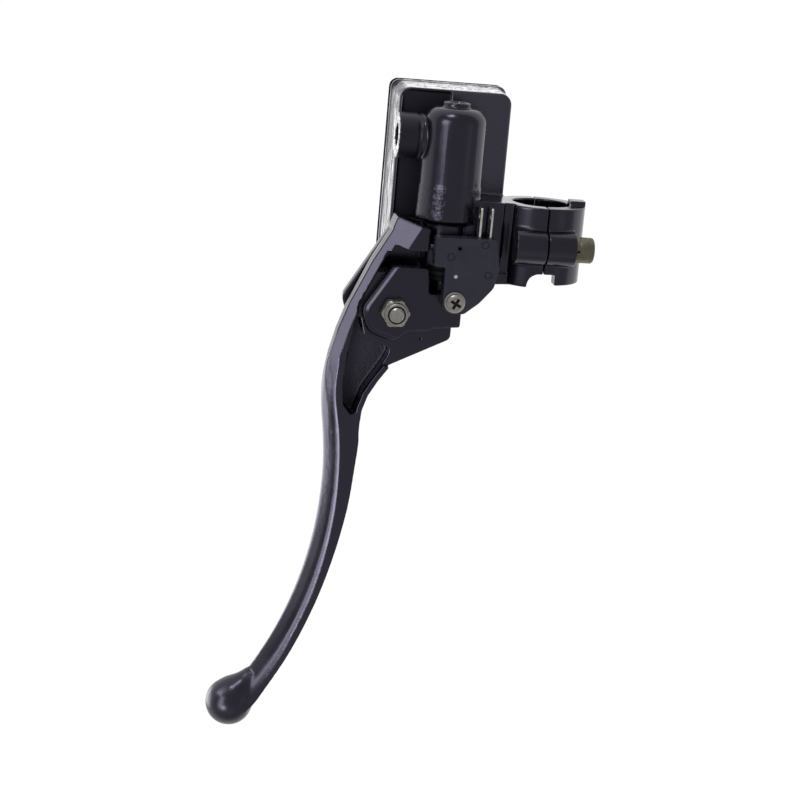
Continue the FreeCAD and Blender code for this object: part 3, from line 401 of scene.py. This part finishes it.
def turned_mesh(name, levels, base, way, steps=96, across_flats=None, knurls=0):
    """Mesh of revolution about a line from base along way. Each level is (distance mm, radius mm, kind).

    Kind is "" for round, "hex" where the hexagon limits the radius and "knurl" for fine ribs."""
    work = bmesh.new()
    way = Vector(way).normalized()
    side = way.orthogonal().normalized()
    other = way.cross(side)
    rings = []
    for distance, radius, kind in levels:
        ring = []
        for i in range(steps):
            a = 2 * math.pi * i / steps
            r = radius
            if kind == "hex":
                fold = (a + math.pi / 6) % (math.pi / 3) - math.pi / 6
                r = min(r, across_flats / 2 / math.cos(fold))
            if kind == "knurl":
                r -= KNURL_DEPTH_MM * (0.5 + 0.5 * math.cos(knurls * a))
            out = side * math.cos(a) + other * math.sin(a)
            ring.append(work.verts.new(Vector(base) + way * (distance * MM) + out * (r * MM)))
        rings.append(ring)
    for low, high in zip(rings, rings[1:]):
        for i in range(steps):
            k = (i + 1) % steps
            work.faces.new((low[i], low[k], high[k], high[i]))
    work.faces.new(list(reversed(rings[0])))
    work.faces.new(rings[-1])
    bmesh.ops.recalc_face_normals(work, faces=work.faces)
    mesh = bpy.data.meshes.new(name)
    work.to_mesh(mesh)
    work.free()
    shade_smooth(mesh, TURNED_CREASE_DEG)
    return mesh


def eased_mesh(name, node, width_mm, segments=2):
    """The CAD node with its sharp edges rounded a little."""
    mesh = NODES[node].data.copy()
    work = bmesh.new()
    work.from_mesh(mesh)
    bmesh.ops.remove_doubles(work, verts=work.verts, dist=MERGE_MM * MM)
    flat = math.radians(1.0)
    bmesh.ops.dissolve_limit(work, angle_limit=flat, verts=work.verts, edges=work.edges)
    work.to_mesh(mesh)
    work.free()
    bevel = ("BEVEL", {"width": width_mm * MM, "segments": segments, "limit_method": "ANGLE",
                       "angle_limit": math.radians(EASED_FROM_DEG), "harden_normals": False,
                       "use_clamp_overlap": True})
    result = finished_mesh(name, mesh, bevel)
    shade_smooth(result, EASED_CREASE_DEG)
    return result


def thread_levels(start, end, radius, pitch=1.0, depth=0.32):
    """Crest and root levels of a thread between two distances."""
    levels = []
    at = start
    while at < end - pitch:
        levels += [(at, radius - depth, ""), (at + 0.42 * pitch, radius, ""), (at + 0.58 * pitch, radius, "")]
        at += pitch
    return levels + [(end - 0.45, radius - 0.1, ""), (end, radius - 0.65, "")]


NUT_TURN_DEG = 12  # how far the nut's flats stand turned
NUT_FLATS_MM = 10.0
SOCKET_FLATS_MM = 5.0


def make_fasteners(materials):
    low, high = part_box("pivot_nut")
    middle = (low + high) / 2
    nut_top = high.z
    axis = Vector((middle.x, middle.y, nut_top))
    nut_levels = [
        (0.0, 2.9, ""), (0.0, 5.0, ""), (0.25, 5.45, "hex"), (0.45, 5.9, "hex"), (4.0, 5.9, "hex"),
        (4.5, 5.5, "hex"), (4.9, 4.95, "hex"), (5.0, 4.62, ""), (6.3, 4.6, ""), (6.9, 4.4, ""),
        (7.2, 4.0, ""), (7.3, 3.75, ""), (7.22, 3.55, ""), (7.05, 3.45, ""), (6.7, 3.15, ""), (6.4, 3.05, ""),
        (5.8, 2.6, ""),
    ]
    mesh = turned_mesh("pivot_nut_detail", nut_levels, axis, (0, 0, -1), 120, NUT_FLATS_MM)
    turn = Matrix.Rotation(math.radians(NUT_TURN_DEG), 4, "Z")
    mesh.transform(Matrix.Translation(axis) @ turn @ Matrix.Translation(-axis))
    new_piece("pivot_nut_detail", mesh, "base", materials["zinc"], ["pivot_nut"])

    low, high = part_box("pivot_bolt")
    length = (high.z - low.z) / MM
    start = Vector((middle.x, middle.y, high.z))
    bolt = [
        (0.45, 0.6, ""), (0.0, 1.2, ""), (0.0, 4.2, ""), (0.15, 4.7, "hex"), (0.6, 5.4, "hex"),
        (0.8, 5.9, "hex"), (4.0, 5.9, "hex"), (4.0, 4.0, ""), (length - 12.8, 4.0, ""),
        (length - 12.8, 3.0, ""),
    ] + thread_levels(length - 12.0, length, 3.0) + [(length - 0.12, 1.4, ""), (length - 0.25, 0.5, "")]
    mesh = turned_mesh("pivot_bolt_detail", bolt, start, (0, 0, -1), 96, NUT_FLATS_MM)
    new_piece("pivot_bolt_detail", mesh, "base", materials["zinc"], ["pivot_bolt"])

    for side in ("lower", "upper"):
        low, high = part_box("clamp_bolt_" + side)
        length = (high.y - low.y) / MM
        radius = (high.x - low.x) / 2 / MM
        start = Vector(((low.x + high.x) / 2, low.y, (low.z + high.z) / 2))
        levels = [
            (3.0, 0.3, ""), (2.6, 2.9, "hex"), (0.25, 2.95, "hex"), (0.0, 3.3, ""), (0.0, radius - 0.9, ""),
            (0.12, radius - 0.5, ""), (0.5, radius - 0.1, ""), (0.9, radius, "knurl"), (5.2, radius, "knurl"),
            (5.5, radius - 0.12, ""), (6.0, radius - 0.2, ""), (6.0, 3.0, ""), (length - 14.0, 3.0, ""),
        ] + thread_levels(length - 13.5, length, 3.0) + [(length, 0.4, "")]
        name = "clamp_bolt_" + side + "_detail"
        mesh = turned_mesh(name, levels, start, (0, 1, 0), 144, SOCKET_FLATS_MM, 36)
        new_piece(name, mesh, "base", materials["yellow_zinc"], ["clamp_bolt_" + side])


RIVET_AT_MM = (12.7, 34.5)
EYELET_AT_MM = (1.8, 33.9)


def make_switch_marks(materials):
    """A bright rivet and a dark eyelet in the switch cover's two small recesses."""
    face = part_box("switch_cover")[0].z
    rivet = [(-0.5, 1.05, ""), (0.0, 1.05, ""), (0.22, 0.85, ""), (0.34, 0.5, ""), (0.38, 0.1, "")]
    place = (RIVET_AT_MM[0] * MM, RIVET_AT_MM[1] * MM, face + 0.4 * MM)
    mesh = turned_mesh("cover_rivet", rivet, place, (0, 0, -1), 32)
    new_piece("cover_rivet", mesh, "base", materials["terminal"])
    eyelet = [(-0.6, 1.0, ""), (0.0, 1.12, ""), (0.14, 1.05, ""), (0.16, 0.9, ""), (0.05, 0.72, ""),
              (-0.6, 0.68, "")]
    place = (EYELET_AT_MM[0] * MM, EYELET_AT_MM[1] * MM, face + 0.1 * MM)
    mesh = turned_mesh("cover_eyelet", eyelet, place, (0, 0, -1), 40)
    new_piece("cover_eyelet", mesh, "base", materials["plastic"])


# Node, body, edge radius (mm), material and slot of the pieces whose edges are only eased.
EASED = (
    ("switch_case", "base", 0.25, "plastic", "black_plastic"),
    ("switch_cover", "base", 0.22, "plastic", "black_plastic"),
    ("switch_terminal_front", "base", 0.14, "terminal", "tinned_brass"),
    ("switch_terminal_rear", "base", 0.14, "terminal", "tinned_brass"),
    ("switch_screw", "base", 0.12, "zinc", "zinc_steel"),
    ("switch_washer", "base", 0.15, "zinc", "zinc_steel"),
    ("lid_screw_inboard", "cover", 0.12, "zinc", "zinc_steel"),
    ("lid_screw_outboard", "cover", 0.12, "zinc", "zinc_steel"),
    ("switch_plunger", "plunger", 0.15, "plastic", "black_plastic"),
    ("clamp_washer_lower", "base", 0.15, "yellow_zinc", "yellow_zinc_steel"),
    ("clamp_washer_upper", "base", 0.15, "yellow_zinc", "yellow_zinc_steel"),
    ("piston", "piston", 0.2, "anodised", "piston_aluminium"),
    ("port_guard", "base", 0.12, "spring", "spring_steel"),
    ("circlip", "base", 0.12, "spring", "spring_steel"),
    ("pivot_bush", "lever", 0.15, "bronze", "sintered_bronze"),
    ("diaphragm_set_plate", "cover", 0.25, "plastic", "black_plastic"),
)


def make_eased(materials):
    for node, body, width, key, slot in EASED:
        mesh = eased_mesh(node + "_eased", node, width)
        new_piece(node + "_eased", mesh, body, materials[key], [node])
        if node == "switch_screw":
            low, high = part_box(node)
            middle = (low + high) / 2 / MM
            top = low.z / MM
            # Painted shade: the screw head's cross recess gets the dark recess coat.
            assign_faces(mesh, materials["grime_and_painted_shade"], lambda c, n: top + 0.35 < c.z < top + 2.2
                         and math.hypot(c.x - middle.x, c.y - middle.y) < 2.45)


def make_springs_and_rubber(materials):
    """The dust boot, its edges eased, and the return spring, shaded smooth, on the base body with meshes of
    their own.
    """
    boot = new_piece("dust_boot_folds", eased_mesh("dust_boot_folds", "dust_boot", 0.25, 3), "base",
                     materials["rubber"], ["dust_boot"])
    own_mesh(boot)
    mesh = NODES["return_spring"].data.copy()
    shade_smooth(mesh)
    spring = new_piece("return_spring_coil", mesh, "base",
                       materials["spring"], ["return_spring"])
    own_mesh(spring)


# ---------------------------------------------------------------- castings

def assign_faces(mesh, material, chosen):
    """Gives the faces whose centre and normal (in mm) pass the test their own material."""
    mesh.materials.append(material.material)
    index = len(mesh.materials) - 1
    for face in mesh.polygons:
        if chosen(face.center / MM, face.normal):
            face.material_index = index


BALL_RADIUS_MM, BALL_FORWARD_MM, BALL_UP_MM = 9.6, 108.7, -2.0
NECK_ZONES_MM = ((6.5, 24.0), (7.5, 21.0), (8.5, 18.0), (9.4, 16.0))
NECK_ROUNDS = 13

# Piece, CAD node, body, voxel (mm), rounds of relaxing and material.
CASTINGS = (
    ("body_casting", "master_cylinder_body", "base", 0.32, 9, "paint"),
    ("cap_casting", "clamp_cap", "base", 0.35, 7, "paint"),
    ("lever_casting", "brake_lever", "lever", 0.28, 9, "lever_paint"),
    ("lid_casting", "reservoir_lid", "cover", 0.40, 4, "lid_paint"),
)

# Parts of a casting with paint of their own, by a face's centre (mm) and normal.
PAINTED_FACES = (
    ("body_casting", "floor_paint", lambda c, n: n.z < -0.7 and 9.0 < c.z < 9.9),
    ("body_casting", "rough_paint", lambda c, n: n.z < -0.7 and 9.9 < c.z < 11.2 and c.y > 37.0),
    ("body_casting", "rough_paint", lambda c, n: -47.5 < c.x < -27.5 and c.y > 49.6 and c.z < 9.0),
    ("body_casting", "wrinkled", lambda c, n: -20.0 < c.x < -7.2 and abs(c.y - 37.0) < 13.2 and c.z < -4.0),
    ("body_casting", "wall_paint",
     lambda c, n: c.z > 11.5 and abs(n.z) < 0.5 and (c.y > 56.0 or c.x < -54.0)),
    ("body_casting", "port", lambda c, n: n.y > 0.6 and c.y > 58.4 and -47.0 < c.x < -28.0 and c.z < 11.0),
    ("lever_casting", "pocket", lambda c, n: n.z < -0.5 and -1.0 < c.z < 1.6 and 28 < c.x < 75),
    ("lid_casting", "lid_edge", lambda c, n: n.z < 0.7),
)


def make_castings(materials):
    """The four painted castings. Returns them by name."""
    made = {}
    for name, node, body, voxel, rounds, key in CASTINGS:
        mesh = cast_mesh(name, node, voxel, rounds)
        made[name] = new_piece(name, mesh, body, materials[key], [node])
    ball_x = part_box("brake_lever")[1].x - BALL_RADIUS_MM * MM
    ball = Vector((ball_x, BALL_FORWARD_MM * MM, BALL_UP_MM * MM))
    blend_neck(made["lever_casting"].data, ball, NECK_ZONES_MM, NECK_ROUNDS)
    for name, key, chosen in PAINTED_FACES:
        assign_faces(made[name].data, materials[key], chosen)
    return made


NODE_MATERIALS = {
    "spring": ["switch_spring"],
    "rubber": ["reservoir_diaphragm", "primary_cup", "secondary_cup", "sight_glass_seal"],
    "glass": ["sight_glass"],
}


def dress_nodes(materials):
    for key, names in NODE_MATERIALS.items():
        for name in names:
            mesh = NODES[name].data
            mesh.materials.clear()
            mesh.materials.append(materials[key].material)


def light_only(light, piece):
    """The light falls on this piece alone."""
    group = bpy.data.collections.new(light.name + "_receivers")
    group.objects.link(piece)
    light.light_linking.receiver_collection = group


make_camera()
lever_lights, body_lights = make_studio()
MATERIALS = make_materials()
castings = make_castings(MATERIALS)
make_fasteners(MATERIALS)
make_switch_marks(MATERIALS)
make_eased(MATERIALS)
make_springs_and_rubber(MATERIALS)
dress_nodes(MATERIALS)
for lights, casting in ((lever_lights, "lever_casting"), (body_lights, "body_casting")):
    for light in lights:
        light_only(light, castings[casting])
